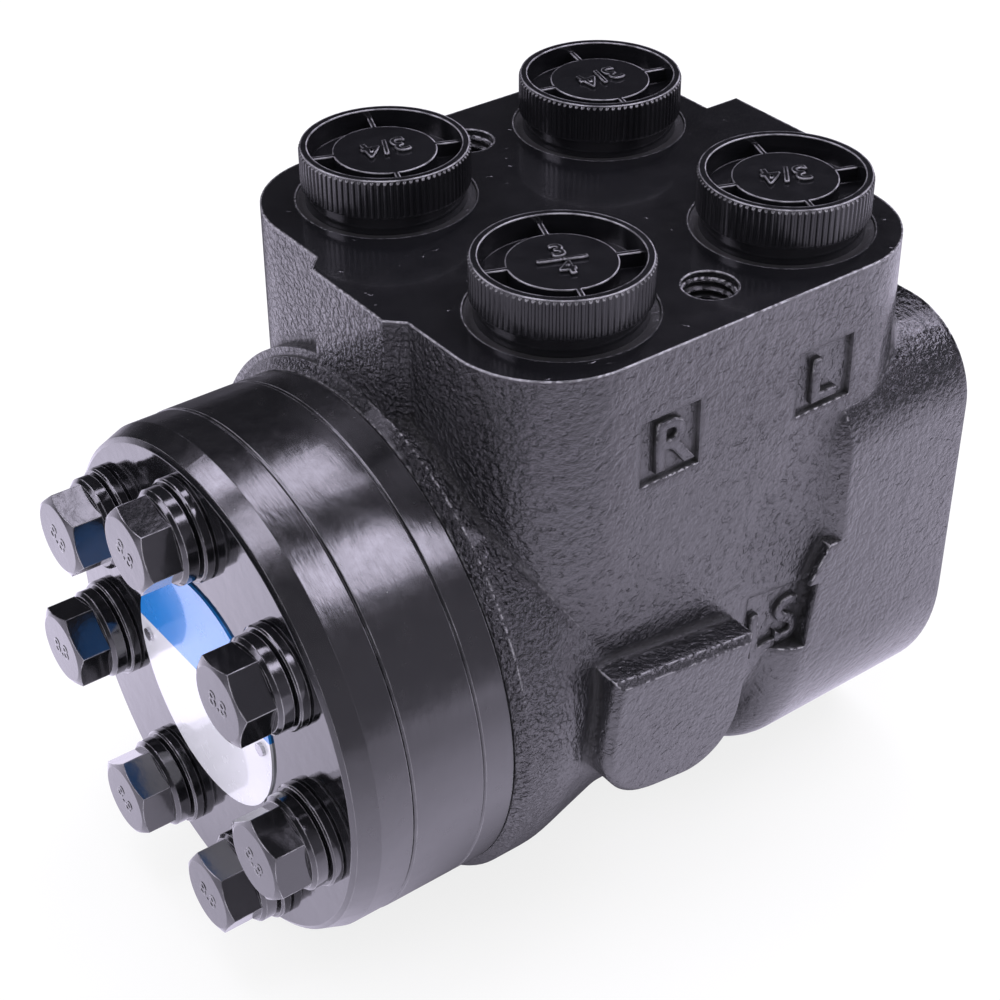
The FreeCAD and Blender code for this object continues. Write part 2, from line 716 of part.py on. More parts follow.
seat_x = x_cover - seal_washer_t - lock_washer_t
head_turns = (12, -9, 21, 4, 27, -14, 17)


def placed(shape, x, r, deg, turn):
    s = shape.copy()
    s.rotate(V(0, 0, 0), V(1, 0, 0), turn)
    p = polar(x, r, deg)
    s.translate(p)
    return s


shank_len = x_joint + bolt_thread_in - seat_x
one_bolt = bolt(shank_len)
plain = []
seal_washers = []
lock_washers = []
hole_r = m10_r + washer_gap
seal_washer = tube_x(0, seal_washer_t, seal_washer_r, hole_r)
seal_washer = bevel_some(seal_washer, 0.35, lambda e: circle_edge(e, seal_washer_r))
lock_washer = tube_x(0, lock_washer_t, lock_washer_r, hole_r)
lock_washer = bevel_some(lock_washer, 0.7, lambda e: circle_edge(e, lock_washer_r))
for k, a in enumerate(bolt_angles()):
    b = placed(one_bolt, seat_x, bolt_circle_r, a, head_turns[k % len(head_turns)])
    if k == ball_bolt:
        save("check_bolt", b)
    else:
        plain.append(b)
    seal_washers.append(placed(seal_washer, x_cover - seal_washer_t, bolt_circle_r, a, 0))
    lock_washers.append(placed(lock_washer, seat_x, bolt_circle_r, a, 0))
save("cover_bolts", parts_of(plain))
save("seal_washers", parts_of(seal_washers))
save("lock_washers", parts_of(lock_washers))

# Check ball, its seat and the stop pin in the bolt end
p = polar(0, bolt_circle_r, bolt_angles()[ball_bolt])
x_end = x_joint + bolt_thread_in
save("stop_pin", cyl_x(x_end, x_end + stop_pin_len, stop_pin_r, p.y, p.z))
ball_seat = tube_x(ball_seat_x(), ball_seat_x() + seat_len, ball_bore_r - 0.02, seat_r, p.y, p.z)
save("check_seat", ball_seat)
save("check_ball", Part.makeSphere(ball_r, V(ball_rest_x(), p.y, p.z)))

# Name plate on two drive pins
label_x = x_cover - label_thick
label = cyl_x(label_x, x_cover, label_r)
save("name_plate", label)
pins = [cyl_x(label_x - 0.6, label_x, label_pin_r, s * label_pin_y, 0) for s in (1, -1)]
save("plate_pins", parts_of(pins))


# Plastic port plugs


def port_plug(x, y, turn):
    """Hollow screw plug with a ribbed finger recess in its head."""
    z0 = port_face_z - spot_face_depth
    z1 = z0 + plug_high
    ax = V(x, y, 0)
    skirt = cyl_z(z0, z0 + plug_skirt_high, plug_skirt_r, x, y)
    rim = cyl_z(z0 + plug_skirt_high, z1, plug_rim_r, x, y)
    shank = cyl_z(z0 - plug_shank_len, z0, port_thread_r - thread_gap, x, y)
    plug = fused([skirt, rim, shank])
    well_r = plug_rim_r - plug_wall
    well = cyl_z(z1 - plug_recess, z1 + 1, well_r, x, y)
    well = well.cut(cyl_z(z1 - plug_recess - 1, z1 - plug_disc_drop, plug_disc_r, x, y))
    hollow_r = port_thread_r - thread_gap - plug_shank_wall
    under = cyl_z(z0 - plug_shank_len - 1, z0 + 2, hollow_r, x, y)
    plug = plug.cut(well).cut(under)
    ribs = []
    for i in range(4):
        rib = box(plug_disc_r - 0.5, well_r + 0.3, -plug_rib / 2, plug_rib / 2,
                  z1 - plug_recess - 0.5, z1 - plug_disc_drop)
        rib.rotate(V(0, 0, 0), V(0, 0, 1), turn + 90 * i)
        rib.translate(ax)
        ribs.append(rib)
    return fused([plug] + ribs)


corners = ((0, -1, -22), (0, 1, -22), (1, 1, -15), (1, -1, -20))
for n, (i, side, turn) in enumerate(corners):
    save("port_plug_%d" % (n + 1), port_plug(port_xs[i], side * port_pitch_y / 2, turn))
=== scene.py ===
"""Looks of a hydraulic orbital steering unit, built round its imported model.

X runs along the shaft: the column flange's face is x = 0 and the end cover lies at the
far negative end. Z points out of the port face and -Y is the marked side.
"""
import json
import math

import bmesh
import bpy
from mathutils import Matrix, Vector


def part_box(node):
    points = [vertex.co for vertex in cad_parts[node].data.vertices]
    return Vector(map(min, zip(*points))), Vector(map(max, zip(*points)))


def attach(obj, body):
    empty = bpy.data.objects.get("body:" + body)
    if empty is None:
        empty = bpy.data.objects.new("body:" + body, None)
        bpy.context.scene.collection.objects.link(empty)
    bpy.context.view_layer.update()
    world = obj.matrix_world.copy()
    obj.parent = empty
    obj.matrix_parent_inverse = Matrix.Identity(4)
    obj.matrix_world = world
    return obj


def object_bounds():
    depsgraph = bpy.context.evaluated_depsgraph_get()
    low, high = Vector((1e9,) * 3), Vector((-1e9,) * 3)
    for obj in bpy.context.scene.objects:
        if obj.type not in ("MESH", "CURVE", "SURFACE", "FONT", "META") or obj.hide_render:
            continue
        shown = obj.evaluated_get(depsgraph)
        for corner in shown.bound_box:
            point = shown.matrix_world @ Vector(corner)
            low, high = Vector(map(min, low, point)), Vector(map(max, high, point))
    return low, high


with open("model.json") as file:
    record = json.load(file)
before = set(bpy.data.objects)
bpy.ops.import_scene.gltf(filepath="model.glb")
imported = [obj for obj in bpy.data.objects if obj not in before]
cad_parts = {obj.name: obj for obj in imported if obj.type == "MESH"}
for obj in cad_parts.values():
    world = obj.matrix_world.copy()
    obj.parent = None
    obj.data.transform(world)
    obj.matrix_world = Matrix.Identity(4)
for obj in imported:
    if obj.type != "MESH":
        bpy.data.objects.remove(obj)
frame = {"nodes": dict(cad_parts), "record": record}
cad_low, cad_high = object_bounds()
nodes = frame["nodes"]
MM = 0.001

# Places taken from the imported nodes
PORT_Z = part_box("housing")[1].z
JOINT_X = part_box("distributor_plate")[1].x
COVER_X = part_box("end_cover")[0].x
plate_low, plate_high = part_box("name_plate")
PLATE_MIDDLE_Z = (plate_high.z + plate_low.z) / 2
PLUGS = ["port_plug_%d" % n for n in (1, 2, 3, 4)]


# Node helpers


class Tree:
    """Chained helpers for the nodes of one material or world."""

    def __init__(self, owner):
        owner.use_nodes = True
        self.nodes = owner.node_tree.nodes
        self.links = owner.node_tree.links

    def feed(self, value, socket):
        """Links a socket to another one, or sets it to a plain value."""
        if isinstance(value, bpy.types.NodeSocket):
            self.links.new(value, socket)
        else:
            socket.default_value = value

    def add(self, kind, **inputs):
        """A new node with its inputs fed by name, where From_Min stands for From Min."""
        node = self.nodes.new("ShaderNode" + kind)
        for key, value in inputs.items():
            self.feed(value, node.inputs[key.replace("_", " ")])
        return node

    def calc(self, kind, *values):
        node = self.add("Math")
        node.operation = kind
        for value, socket in zip(values, node.inputs):
            self.feed(value, socket)
        return node.outputs[0]

    def product(self, first, *others):
        for other in others:
            first = self.calc("MULTIPLY", first, other)
        return first

    def ramp(self, value, low, high, out_low=0.0, out_high=1.0, smooth=False):
        """Carries the range from low to high over to another, and stays at its ends."""
        node = self.add("MapRange", Value=value, From_Min=low, From_Max=high,
                        To_Min=out_low, To_Max=out_high)
        if smooth:
            node.interpolation_type = "SMOOTHSTEP"
        return node.outputs[0]

    def mix(self, share, a, b):
        """Colour b by the share, else colour a."""
        node = self.add("Mix")
        node.data_type = "RGBA"
        for value, index in ((share, 0), (a, 6), (b, 7)):
            self.feed(value + (1,) if isinstance(value, tuple) else value, node.inputs[index])
        return node.outputs[2]

    def either(self, share, a, b):
        """Shader b by the share, else shader a."""
        node = self.add("MixShader")
        for value, socket in zip((share, a, b), node.inputs):
            self.feed(value, socket)
        return node.outputs[0]

    def split(self, vector):
        """The x, y and z of a vector."""
        node = self.add("SeparateXYZ", Vector=vector)
        return [node.outputs[axis] for axis in "XYZ"]

    def vector_calc(self, kind, *vectors):
        node = self.add("VectorMath")
        node.operation = kind
        for vector, socket in zip(vectors, node.inputs):
            self.feed(vector, socket)
        return node.outputs["Value"]


class Paint(Tree):
    """One procedural material, built up in the object's own coordinates."""

    def __init__(self, name, **inputs):
        self.mat = bpy.data.materials.new(name)
        super().__init__(self.mat)
        self.bsdf = self.nodes["Principled BSDF"]
        for key, value in inputs.items():
            self.bsdf.inputs[key.replace("_", " ")].default_value = value
        self.place = self.add("TexCoord").outputs["Object"]
        self.x, _, self.z = self.split(self.place)
        self.normal = None

    def noise(self, grain, detail, rough, stretch=None):
        """Noise whose features are about grain metres across, longer where stretch is under one."""
        place = self.place
        if stretch:
            place = self.add("Mapping", Scale=stretch, Vector=place).outputs["Vector"]
        node = self.add("TexNoise", Vector=place, Scale=1 / grain, Detail=detail, Roughness=rough)
        return node.outputs["Fac"]

    def patches(self, grain, end, least, most):
        """Soft patches about grain metres across, which reach the most at noise of end."""
        return self.ramp(self.noise(grain, 2.0, 0.5), 0.35, end, least, most)

    def rounded(self, radius, samples=6):
        """Normal of the surface with its edges rounded."""
        node = self.add("Bevel", Radius=radius)
        node.samples = samples
        return node.outputs["Normal"]

    def soft_edges(self, radius, samples=6):
        """Rounds every edge in the shading. Radius is metres or a socket."""
        self.normal = self.rounded(radius, samples)

    def openness(self, reach, alone=True):
        """One on open faces, towards nought in creases and, unless alone, beside other pieces."""
        node = self.add("AmbientOcclusion", Distance=reach)
        node.samples = 8
        node.only_local = alone
        return node.outputs["AO"]

    def highlight_and_wear_edges(self, radius, upward=False):
        """One along outer edges, nought on flats and in creases: where edges are painted bright, as
        painted highlight and partly as wear.

        Upward keeps only the edges that face up, the strongest on the marked side, so the painted
        highlight lies where light falls from above.
        """
        turned = self.rounded(radius)
        flat = self.add("NewGeometry").outputs["Normal"]
        edge = self.ramp(self.vector_calc("DOT_PRODUCT", turned, flat), 0.99, 0.92)
        edge = self.product(edge, self.ramp(self.openness(2 * radius), 0.75, 0.95))
        if not upward:
            return edge
        # Painted highlight: only edges turned up and toward the marked side keep the bright colour
        _, y, z = self.split(turned)
        return self.product(edge, self.ramp(z, 0.15, 0.4), self.ramp(y, 0.45, -0.25, 0.35, 1.0))

    def bump(self, height, deep, strength):
        """Adds relief deep metres high on what is there already."""
        node = self.add("Bump", Height=height, Distance=deep, Strength=strength)
        if self.normal is not None:
            self.feed(self.normal, node.inputs["Normal"])
        self.normal = node.outputs["Normal"]

    def done(self, color, rough):
        inputs = self.bsdf.inputs
        self.feed(color, inputs["Base Color"])
        self.feed(rough, inputs["Roughness"])
        self.feed(self.normal, inputs["Normal"])
        return self.mat


# Paints. Each bump is its pattern, its height and its strength, from coarse to fine.

BLACK = (0.003, 0.003, 0.004)
# Lavender-grey painted on edges: painted highlight, partly wear
HIGHLIGHT_AND_WEAR_TINT = (0.56, 0.54, 0.61)


def cast_paint():
    """Gloss black over a sand casting: wrinkled walls, a pitted gear end, a machined port face."""
    p = Paint("housing_paint", IOR=2.0, Coat_Weight=0.35, Coat_Roughness=0.06)
    cast = p.ramp(p.z, PORT_Z - 0.3 * MM, PORT_Z - 0.6 * MM)
    machined = p.calc("SUBTRACT", 1.0, cast)
    gear_end = p.ramp(p.x, JOINT_X + 12 * MM, JOINT_X + 5 * MM)
    walls = p.product(cast, p.patches(14 * MM, 0.65, 0.55, 1.0))

    # Crisp edges at the port face, softer ones further down
    below_edge = p.ramp(p.z, PORT_Z - 1.0 * MM, PORT_Z - 3.5 * MM)
    p.soft_edges(p.calc("MULTIPLY_ADD", below_edge, 1.4 * MM, 0.55 * MM))
    p.bump(p.noise(4.0 * MM, 2.0, 0.5), 0.4 * MM, p.product(cast, 0.9))
    wrinkled = p.calc("MULTIPLY_ADD", walls, 0.96, 0.008)
    p.bump(p.noise(1.1 * MM, 3.0, 0.6), 0.55 * MM, wrinkled)
    pocks = p.ramp(p.noise(1.5 * MM, 2.0, 0.5), 0.58, 0.68, 1.0, 0.0)
    p.bump(pocks, 0.2 * MM, walls)
    pits = p.ramp(p.noise(1.0 * MM, 2.0, 0.5), 0.40, 0.60)
    p.bump(pits, 0.5 * MM, p.product(gear_end, cast))
    specks = p.ramp(p.noise(2.4 * MM, 0.0, 0.0), 0.79, 0.83)
    p.bump(specks, 0.12 * MM, machined)

    # Edges painted bright, partly wear and partly painted highlight: painted glints on the casting,
    # rubbed and painted highlight lines round the machined face
    ground = p.mix(p.noise(9 * MM, 4.0, 0.6), BLACK, (0.007, 0.007, 0.009))
    painted_glints = p.ramp(p.noise(1.1 * MM, 1.0, 0.5), 0.45, 0.56)
    rub_and_highlight = p.product(machined, p.patches(6 * MM, 0.6, 0.2, 0.7))
    edge_highlight_and_wear = p.product(p.highlight_and_wear_edges(0.65 * MM, True), p.calc("MAXIMUM", painted_glints, rub_and_highlight))
    gloss = p.calc("MULTIPLY_ADD", p.noise(4 * MM, 3.0, 0.6), 0.14, 0.12)
    hidden = p.ramp(p.openness(3.2 * MM, alone=False), 0.88, 0.35, 0.0, 0.65)
    return p.done(p.mix(edge_highlight_and_wear, ground, HIGHLIGHT_AND_WEAR_TINT), p.calc("ADD", gloss, hidden))


def disc_paint():
    """Thin satin black over turned steel: faint lines round the axis and slight mottling."""
    p = Paint("disc_paint", IOR=2.1, Coat_Weight=0.3, Coat_Roughness=0.08)
    p.soft_edges(0.3 * MM)
    p.bump(p.noise(6 * MM, 2.0, 0.5), 0.12 * MM, 0.7)
    p.bump(p.noise(1.3 * MM, 3.0, 0.5, (1.0, 0.4, 0.4)), 0.05 * MM, 0.8)
    p.bump(p.noise(0.45 * MM, 2.0, 0.5, (1.0, 0.08, 0.08)), 0.02 * MM, 0.8)
    ground = p.mix(p.noise(14 * MM, 3.0, 0.6), BLACK, (0.006, 0.006, 0.0075))
    # Edges painted bright in patches: painted highlight, partly wear
    edge_highlight_and_wear = p.product(p.highlight_and_wear_edges(0.25 * MM), p.patches(5 * MM, 0.65, 0.1, 0.6))
    # The cover's end face shines more than the rims
    face = p.ramp(p.x, COVER_X + 0.5 * MM, COVER_X + 0.2 * MM)
    satin = p.calc("MULTIPLY_ADD", p.noise(3 * MM, 4.0, 0.65), 0.26, 0.1)
    rough = p.product(satin, p.calc("MULTIPLY_ADD", face, -0.6, 1.0))
    return p.done(p.mix(edge_highlight_and_wear, ground, HIGHLIGHT_AND_WEAR_TINT), rough)


def bolt_paint():
    """Gloss black bolts, their edges painted a little brighter in patches: partly wear, partly
    painted highlight.
    """
    p = Paint("bolt_paint", IOR=2.0, Coat_Weight=0.2, Coat_Roughness=0.05)
    p.soft_edges(0.3 * MM)
    p.bump(p.noise(3.5 * MM, 2.0, 0.5), 0.06 * MM, 0.8)
    p.bump(p.noise(0.8 * MM, 3.0, 0.6), 0.012 * MM, 0.8)
    ground = p.mix(p.noise(3 * MM, 4.0, 0.7), BLACK, (0.010, 0.010, 0.012))
    # Edges painted bright in patches: painted highlight, partly wear
    edge_highlight_and_wear = p.product(p.highlight_and_wear_edges(0.3 * MM), p.patches(3 * MM, 0.6, 0.1, 0.9))
    rough = p.calc("MULTIPLY_ADD", p.noise(2.5 * MM, 4.0, 0.6), 0.16, 0.05)
    return p.done(p.mix(edge_highlight_and_wear, ground, HIGHLIGHT_AND_WEAR_TINT), rough)


def plug_plastic():
    """Moulded black plastic with soft edges, those facing up painted bright: painted highlight,
    partly wear.
    """
    p = Paint("plug_plastic", IOR=1.7)
    p.soft_edges(0.38 * MM)
    p.bump(p.noise(2.2 * MM, 3.0, 0.5), 0.05 * MM, 0.6)
    p.bump(p.noise(0.5 * MM, 2.0, 0.5), 0.01 * MM, 0.6)
    ground = p.mix(p.noise(6 * MM, 2.0, 0.5), BLACK, (0.008, 0.008, 0.010))
    # Upward edges painted bright: painted highlight, partly wear
    edge_highlight_and_wear = p.product(p.highlight_and_wear_edges(0.5 * MM, True), p.patches(2.5 * MM, 0.6, 0.35, 1.0))
    rough = p.calc("MULTIPLY_ADD", p.noise(3 * MM, 3.0, 0.6), 0.12, 0.14)
    return p.done(p.mix(edge_highlight_and_wear, ground, HIGHLIGHT_AND_WEAR_TINT), rough)


def steel(name, tone, rough, grain=0.4):
    """Bare steel with fine lines round the shaft, grain millimetres apart."""
    p = Paint(name, Metallic=1.0)
    p.soft_edges(0.15 * MM, 4)
    p.bump(p.noise(grain * MM, 3.0, 0.6, (1.0, 0.08, 0.08)), 0.006 * MM, 0.6)
    darker = tuple(0.8 * t for t in tone)
    return p.done(p.mix(p.noise(5 * MM, 3.0, 0.6), darker, tone),
                  p.calc("MULTIPLY_ADD", p.noise(3 * MM, 3.0, 0.6), 0.15, rough))


def rubber():
    """Matt black seals."""
    p = Paint("seal_rubber", IOR=1.5)
    p.bump(p.noise(0.6 * MM, 3.0, 0.6), 0.02 * MM, 0.6)
    return p.done(p.mix(p.noise(3 * MM, 2.0, 0.5), (0.012, 0.012, 0.012), (0.025, 0.025, 0.026)),
                  p.calc("MULTIPLY_ADD", p.noise(1.5 * MM, 2.0, 0.5), 0.2, 0.5))


def plate_print():
    """Two plain printed fields, blue over white, under a clear gloss."""
    p = Paint("plate_print", IOR=1.7, Coat_Weight=0.8, Coat_Roughness=0.04)
    blue_from = PLATE_MIDDLE_Z + 3.0 * MM
    share = p.ramp(p.z, blue_from, blue_from + 0.15 * MM)
    p.bump(p.noise(5 * MM, 2.0, 0.5), 0.03 * MM, 0.5)
    return p.done(p.mix(share, (0.80, 0.79, 0.88), (0.02, 0.25, 0.78)),
                  p.calc("MULTIPLY_ADD", p.noise(4 * MM, 3.0, 0.6), 0.12, 0.2))


MATERIALS = {
    "housing_paint": cast_paint(),
    "disc_paint": disc_paint(),
    "bolt_paint": bolt_paint(),
    "plug_plastic": plug_plastic(),
    "seal_rubber": rubber(),
    "plate_print": plate_print(),
    "ground_steel": steel("ground_steel", (0.62, 0.62, 0.64), 0.18),
    "dark_steel": steel("dark_steel", (0.30, 0.30, 0.31), 0.3, 0.8),
    "plate_pin": steel("plate_pin", (0.75, 0.75, 0.77), 0.2),
}


def paint(obj, slot):
    obj.data.materials.clear()
    obj.data.materials.append(MATERIALS[slot])


for part in frame["record"]["subparts"]:
    paint(nodes[part["node"]], part["material_slot"])


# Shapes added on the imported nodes


def add_piece(name, mesh, body, slot):
    """Puts a mesh into the scene as a painted piece that rides on a body."""
    obj = bpy.data.objects.new(name, mesh)
    bpy.context.scene.collection.objects.link(obj)
    paint(obj, slot)
    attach(obj, body)


def add_faces(name, verts, faces, body, slot):
    """A flat-shaded piece whose faces all look outwards."""
    mesh = bpy.data.meshes.new(name)
    mesh.from_pydata(verts, [], faces)
    mesh.validate()
    bm = bmesh.new()
    bm.from_mesh(mesh)
    bmesh.ops.recalc_face_normals(bm, faces=bm.faces)
    bm.to_mesh(mesh)
    bm.free()
    for polygon in mesh.polygons:
        polygon.use_smooth = False
    add_piece(name, mesh, body, slot)


# A thread's section, as pitches along and ridge heights out. All the rest but the steps of
# a turn is in pitches too: where it starts, what it leaves free and how far it stands out.
RIDGE = ((-0.46, -0.06), (-0.08, 1.0), (0.08, 1.0), (0.46, -0.06))
TURN_STEPS = 36
RUN_IN = 0.75
RUN_IN_AND_OUT = 1.4
INTO_HOLE = -0.54
OUT_OF_STEM = 0.3


def thread(name, mouth, inward, radius, depth, pitch, body, slot, out_by=INTO_HOLE):
    """Helical ridge on a round wall. Mouth is its centre, inward its direction.

    The ridge stands out_by pitches off the wall, and less than nought is toward the axis.
    It grows over its first turn, sinks over its last, and keeps clear of both ends.
    """
    inward = Vector(inward).normalized()
    side = inward.orthogonal().normalized()
    other = inward.cross(side)
    steps = TURN_STEPS * (depth / pitch - RUN_IN_AND_OUT)
    ridge = out_by * pitch
    verts = []
    for i in range(int(steps) + 1):
        a = 2 * math.pi * i / TURN_STEPS
        ease = min(1.0, i / TURN_STEPS, (steps - i) / TURN_STEPS + 0.05)
        along = pitch * (RUN_IN + i / TURN_STEPS)
        out = side * math.cos(a) + other * math.sin(a)
        verts += [mouth + inward * (along + off * pitch) + out * (radius + rise * ridge * ease)
                  for off, rise in RIDGE]
    corners = len(RIDGE)
    last = len(verts) - corners
    faces = []
    for row in range(0, last, corners):
        for k in range(corners):
            n = (k + 1) % corners
            faces.append((row + k, row + n, row + corners + n, row + corners + k))
    faces += [(3, 2, 1, 0), (last, last + 1, last + 2, last + 3)]
    add_faces(name, verts, faces, body, slot)


def raised_text(name, text, size, centre, right, up, height, body, slot, weight=0.0, wide=1.0):
    """Raised characters lying in the plane of right and up, standing off it by height."""
    curve = bpy.data.curves.new(name, "FONT")
    curve.body = text
    curve.size = size
    curve.align_x = "CENTER"
    curve.align_y = "CENTER"
    curve.extrude = height / 2
    curve.bevel_depth = height * 0.2
    curve.offset = weight
    curve.resolution_u = 4
    maker = bpy.data.objects.new(name + "_maker", curve)
    bpy.context.scene.collection.objects.link(maker)
    bpy.context.view_layer.update()
    mesh = bpy.data.meshes.new_from_object(maker)
    mesh.name = name
    bpy.data.objects.remove(maker)
    right, up = Vector(right).normalized(), Vector(up).normalized()
    out = right.cross(up)
    low = Vector([min(v.co[i] for v in mesh.vertices) for i in range(3)])
    high = Vector([max(v.co[i] for v in mesh.vertices) for i in range(3)])
    shift = Matrix.Translation(-(low + high) / 2)
    turn = Matrix((right, up, out)).transposed().to_4x4()
    stretch = Matrix.Diagonal((wide, 1, 1, 1))
    mesh.transform(Matrix.Translation(Vector(centre)) @ turn @ stretch @ shift)
    add_piece(name, mesh, body, slot)


# Tapped holes and ports

M10_R = 5.0 * MM
M10_PITCH = 1.5 * MM
M10_DEPTH = 17.0 * MM
UNF_PITCH = 25.4 / 16 * MM
mounts = {m["name"]: m for m in frame["record"]["mounts"]}


def m10_thread(name, mount, aside, inward):
    thread(name, Vector(mount["pos_m"]) + aside, inward, M10_R, M10_DEPTH, M10_PITCH,
           "housing", "housing_paint")


bolt_line = mounts["port_face_bolts"]
spacing = bolt_line["dims"]["spacing_y_mm"] * MM
for n, side in enumerate((-1, 1)):
    m10_thread("port_face_thread_%d" % n, bolt_line, Vector((0, side * spacing / 2, 0)),
               (0, 0, -1))
flange = mounts["flange_bolts"]
ring = flange["dims"]["pcd_mm"] * MM / 2
for n in range(4):
    a = math.radians(45 + 90 * n)
    m10_thread("flange_thread_%d" % n, flange, Vector((0, math.cos(a), math.sin(a))) * ring,
               (-1, 0, 0))
for port in ("port_r", "port_l", "port_p", "port_t"):
    dims = mounts[port]["dims"]
    thread(port + "_thread", Vector(mounts[port]["pos_m"]), (0, 0, -1), dims["r_mm"] * MM,
           dims["length_mm"] * MM, UNF_PITCH, "housing", "housing_paint")


# Port plugs: knurled grip, thread and raised size

SEAT_Z = PORT_Z - 0.4 * MM
STEM_R = 9.475 * MM
GRIP_LOW_Z = SEAT_Z + 3.45 * MM
GRIP_BELOW_TOP = 0.25 * MM
KNURLS = 84
KNURL_OUT = 0.27 * MM
KNURL_IN = 0.1 * MM
STACKED_PLUG = "port_plug_1"
MARK_TURN = {"port_plug_1": -22, "port_plug_2": 169, "port_plug_3": 180, "port_plug_4": 156}


def body_of(plug):
    return plug.replace("port_plug", "plug")


def knurled_grip(plug):
    """Upright ridges round the plug's rim, sloping back at both ends."""
    low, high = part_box(plug)
    centre = (low + high) / 2
    rim = (high.x - low.x) / 2
    crest = rim + KNURL_OUT
    foot = rim - KNURL_IN
    half = math.pi / KNURLS
    top = high.z - GRIP_BELOW_TOP
    profile = ((-0.82, foot), (-0.3, crest), (0.3, crest), (0.82, foot))
    levels = ((GRIP_LOW_Z, 1.0), (GRIP_LOW_Z + 0.3 * MM, 0.0), (top - 0.35 * MM, 0.0), (top, 1.0))
    verts, faces = [], []
    for i in range(KNURLS):
        mid = 2 * math.pi * i / KNURLS
        base = len(verts)
        for z, shrink in levels:
            for share, r in profile:
                rr = r - shrink * (r - foot) * 0.85
                a = mid + share * half
                verts.append((centre.x + rr * math.cos(a), centre.y + rr * math.sin(a), z))
        for row in range(3):
            for k in range(3):
                q = base + row * 4 + k
                faces.append((q, q + 1, q + 5, q + 4))
        faces.append((base + 3, base + 2, base + 1, base))
        faces.append((base + 12, base + 13, base + 14, base + 15))
    add_faces(plug + "_grip", verts, faces, body_of(plug), "plug_plastic")


def plug_thread(plug):
    """Moulded thread on the stem, hidden in the port while the plug is in."""
    low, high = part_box(plug)
    middle = (low + high) / 2
    thread(plug + "_thread", Vector((middle.x, middle.y, SEAT_Z)), (0, 0, -1), STEM_R,
           SEAT_Z - low.z, UNF_PITCH, body_of(plug), "plug_plastic", OUT_OF_STEM)


def plug_size_mark(plug):
    """The thread size, three quarters, raised on the plug's disc: stacked or in a row."""
    low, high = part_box(plug)
    middle = (low + high) / 2
    a = math.radians(MARK_TURN[plug])
    right = Vector((math.cos(a), math.sin(a), 0))
    up = Vector((-math.sin(a), math.cos(a), 0))
    _, at, _, _ = nodes[plug].ray_cast(Vector((middle.x, middle.y, 1)), Vector((0, 0, -1)))
    at = at + Vector((0, 0, 0.1 * MM))

    def mark(name, text, size, offset, weight):
        raised_text(plug + name, text, size * MM, at + up * offset * MM, right, up, 0.7 * MM,
                    body_of(plug), "plug_plastic", weight * MM)

    if plug == STACKED_PLUG:
        mark("_three", "3", 5.4, 3.0, 0.14)
        mark("_bar", "__", 8.4, 0, 0.08)
        mark("_four", "4", 5.4, -3.0, 0.14)
    else:
        mark("_size", "3/4", 7.2, 0, 0.08)


for plug in PLUGS:
    knurled_grip(plug)
    plug_thread(plug)
    plug_size_mark(plug)


# Port marks, raised in their recessed pads

MARK_Z = 51.5 * MM


def port_mark(name, text, x, z, size, lean, wide):
    """Raised letters on the floor of the pad that lies x millimetres from the joint at height z."""
    aside = Vector((JOINT_X + x * MM, -1, z))
    _, floor, out, _ = nodes["housing"].ray_cast(aside, Vector((0, 1, 0)))
    a = math.radians(lean)
    right = Vector((math.cos(a), 0, -math.sin(a)))
    up = out.cross(right).normalized()
    raised_text(name, text, size * MM, floor + out * 0.4 * MM, right, up, 1.0 * MM, "housing",
                "housing_paint", 0.1 * MM, wide)


port_mark("mark_right", "R", 36.4, MARK_Z, 13.6, 0, 1.1)
port_mark("mark_left", "L", 71.2, MARK_Z - 0.6 * MM, 12.2, 0, 1.1)
port_mark("mark_sensing", "LS", 63.4, -1.5 * MM, 14.0, -3, 1.0)


# Strength class on the cover bolts, each turned by its own degrees

HEAD_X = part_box("cover_bolts")[0].x
BOLT_CIRCLE = 36.4 * MM
CLASS_TURNS = (22, 1, 31, 14, 37, -4, 27)
for n, degrees in enumerate(CLASS_TURNS):
    a = math.radians(90 + 360 * n / len(CLASS_TURNS))
    t = math.radians(degrees)
    centre = Vector((HEAD_X, BOLT_CIRCLE * math.cos(a), BOLT_CIRCLE * math.sin(a)))
    right = Vector((0, -math.cos(t), -math.sin(t)))
    up = Vector((0, -math.sin(t), math.cos(t)))
    raised_text("bolt_class_%d" % n, "8.8", 4.6 * MM, centre, right, up, 0.16 * MM, "housing",
                "bolt_paint")


# Stage: pale floor, soft light and camera

WHITE = (1, 1, 1, 1)
PALE = (0.9, 0.9, 0.9, 1)
COOL = (0.96, 0.90, 1.12, 1)
SEEN_WHITE = 0.8
FLOOR_Z = cad_low.z - 0.2 * MM
FLOOR_SIDE = 12


